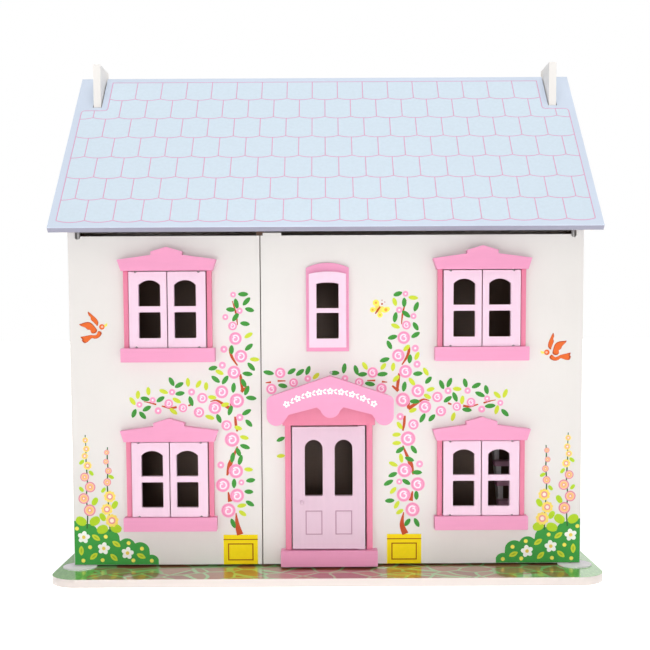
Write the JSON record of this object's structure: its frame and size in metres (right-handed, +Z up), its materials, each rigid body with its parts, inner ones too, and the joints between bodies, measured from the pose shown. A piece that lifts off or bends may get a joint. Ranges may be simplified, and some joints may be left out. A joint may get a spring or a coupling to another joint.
{
  "type": "wooden dollhouse",
  "caption": "Two-storey wooden dollhouse with a lift-up pitched roof, hinged front panels, opening casement windows, a canopied front door, rooms and stairs inside.",
  "frame": {"origin": "centre of the base board's footprint, on the surface it stands on", "axes": "+Z up, +X along the house's width to the viewer's right when facing the front, -Y towards the viewer: the front door faces -Y"},
  "size_m": [0.614, 0.2606, 0.603],
  "materials": {
    "base_print": "printed lawn and path under clear lacquer, cream edge",
    "cream_paint": "satin cream-white paint on board",
    "interior_paint": "satin white paint on board",
    "stair_paint": "satin mauve-pink paint",
    "roof_paint": "satin light blue paint with thin pink printed tile lines",
    "rose_paint": "satin rose-pink paint",
    "pale_pink_paint": "satin pale lilac-pink paint",
    "bare_wood": "bare beech",
    "pin_steel": "plain drawn steel",
    "hinge_steel": "zinc-plated steel",
    "screw_steel": "zinc-plated steel",
    "washer_plastic": "white plastic disc"
  },
  "bodies": {
    "house": {"base_board": "base_print", "left_side_wall": "cream_paint", "right_side_wall": "cream_paint", "lower_back_wall": "cream_paint", "upper_back_wall": "cream_paint", "first_floor": "interior_paint", "attic_floor": "cream_paint", "ground_partition": "interior_paint", "upper_partition": "interior_paint", "left_gable": "cream_paint", "right_gable": "cream_paint", "stair_stringers": "interior_paint", "stair_treads": "stair_paint", "carcass_screws": "screw_steel", "gable_dowels": "bare_wood", "front_pivot_pins": "pin_steel", "pivot_washers": "washer_plastic", "roof_hinge_fixed_leaves": "hinge_steel", "roof_hinge_pins": "pin_steel", "wall_hinge_screws": "screw_steel"},
    "roof": {"roof_panel": "roof_paint", "roof_hinge_moving_leaves": "hinge_steel", "roof_hinge_screws": "screw_steel"},
    "left_front": {"left_front_panel": "cream_paint", "upper_left_header": "rose_paint", "upper_left_jambs": "rose_paint", "upper_left_sill": "rose_paint", "lower_left_header": "rose_paint", "lower_left_jambs": "rose_paint", "lower_left_sill": "rose_paint", "left_casement_pins": "pin_steel"},
    "right_front": {"right_front_panel": "cream_paint", "upper_right_header": "rose_paint", "upper_right_jambs": "rose_paint", "upper_right_sill": "rose_paint", "lower_right_header": "rose_paint", "lower_right_jambs": "rose_paint", "lower_right_sill": "rose_paint", "right_casement_pins": "pin_steel", "centre_window_frame": "rose_paint", "centre_window_sash": "pale_pink_paint", "canopy_fascia": "rose_paint", "canopy_roof_boards": "rose_paint", "canopy_nail": "screw_steel", "door_lintel": "rose_paint", "door_jambs": "rose_paint", "door_step": "rose_paint", "door_pins": "pin_steel"},
    "door": {"front_door": "pale_pink_paint", "door_knob": "pale_pink_paint"},
    "upper_left_l": {"upper_left_casement_l": "pale_pink_paint"},
    "upper_left_r": {"upper_left_casement_r": "pale_pink_paint"},
    "upper_right_l": {"upper_right_casement_l": "pale_pink_paint"},
    "upper_right_r": {"upper_right_casement_r": "pale_pink_paint"},
    "lower_left_l": {"lower_left_casement_l": "pale_pink_paint"},
    "lower_left_r": {"lower_left_casement_r": "pale_pink_paint"},
    "lower_right_l": {"lower_right_casement_l": "pale_pink_paint"},
    "lower_right_r": {"lower_right_casement_r": "pale_pink_paint"}
  },
  "joints": [
    {"name": "roof_lift", "type": "hinge", "parent": "house", "child": "roof", "pos_m": [0, 0.11475, 0.59147], "axis": [-1, 0, 0], "range_deg": [0, 140]},
    {"name": "left_front_swing", "type": "hinge", "parent": "house", "child": "left_front", "pos_m": [-0.277, -0.06375, 0.199], "axis": [0, 0, -1], "range_deg": [0, 170]},
    {"name": "right_front_swing", "type": "hinge", "parent": "house", "child": "right_front", "pos_m": [0.277, -0.06375, 0.199], "axis": [0, 0, 1], "range_deg": [0, 170]},
    {"name": "door_swing", "type": "hinge", "parent": "right_front", "child": "door", "pos_m": [0.0371, -0.07425, 0.0996], "axis": [0, 0, 1], "range_deg": [0, 110]},
    {"name": "upper_left_l_swing", "type": "hinge", "parent": "left_front", "child": "upper_left_l", "pos_m": [-0.2117, -0.07425, 0.3004], "axis": [0, 0, -1], "range_deg": [0, 120]},
    {"name": "upper_left_r_swing", "type": "hinge", "parent": "left_front", "child": "upper_left_r", "pos_m": [-0.1417, -0.07425, 0.3004], "axis": [0, 0, 1], "range_deg": [0, 120]},
    {"name": "upper_right_l_swing", "type": "hinge", "parent": "right_front", "child": "upper_right_l", "pos_m": [0.1387, -0.07425, 0.3004], "axis": [0, 0, -1], "range_deg": [0, 120]},
    {"name": "upper_right_r_swing", "type": "hinge", "parent": "right_front", "child": "upper_right_r", "pos_m": [0.2087, -0.07425, 0.3004], "axis": [0, 0, 1], "range_deg": [0, 120]},
    {"name": "lower_left_l_swing", "type": "hinge", "parent": "left_front", "child": "lower_left_l", "pos_m": [-0.2117, -0.07425, 0.1096], "axis": [0, 0, -1], "range_deg": [0, 120]},
    {"name": "lower_left_r_swing", "type": "hinge", "parent": "left_front", "child": "lower_left_r", "pos_m": [-0.1417, -0.07425, 0.1096], "axis": [0, 0, 1], "range_deg": [0, 120]},
    {"name": "lower_right_l_swing", "type": "hinge", "parent": "right_front", "child": "lower_right_l", "pos_m": [0.1387, -0.07425, 0.1096], "axis": [0, 0, -1], "range_deg": [0, 120]},
    {"name": "lower_right_r_swing", "type": "hinge", "parent": "right_front", "child": "lower_right_r", "pos_m": [0.2087, -0.07425, 0.1096], "axis": [0, 0, 1], "range_deg": [0, 120]}
  ]
}
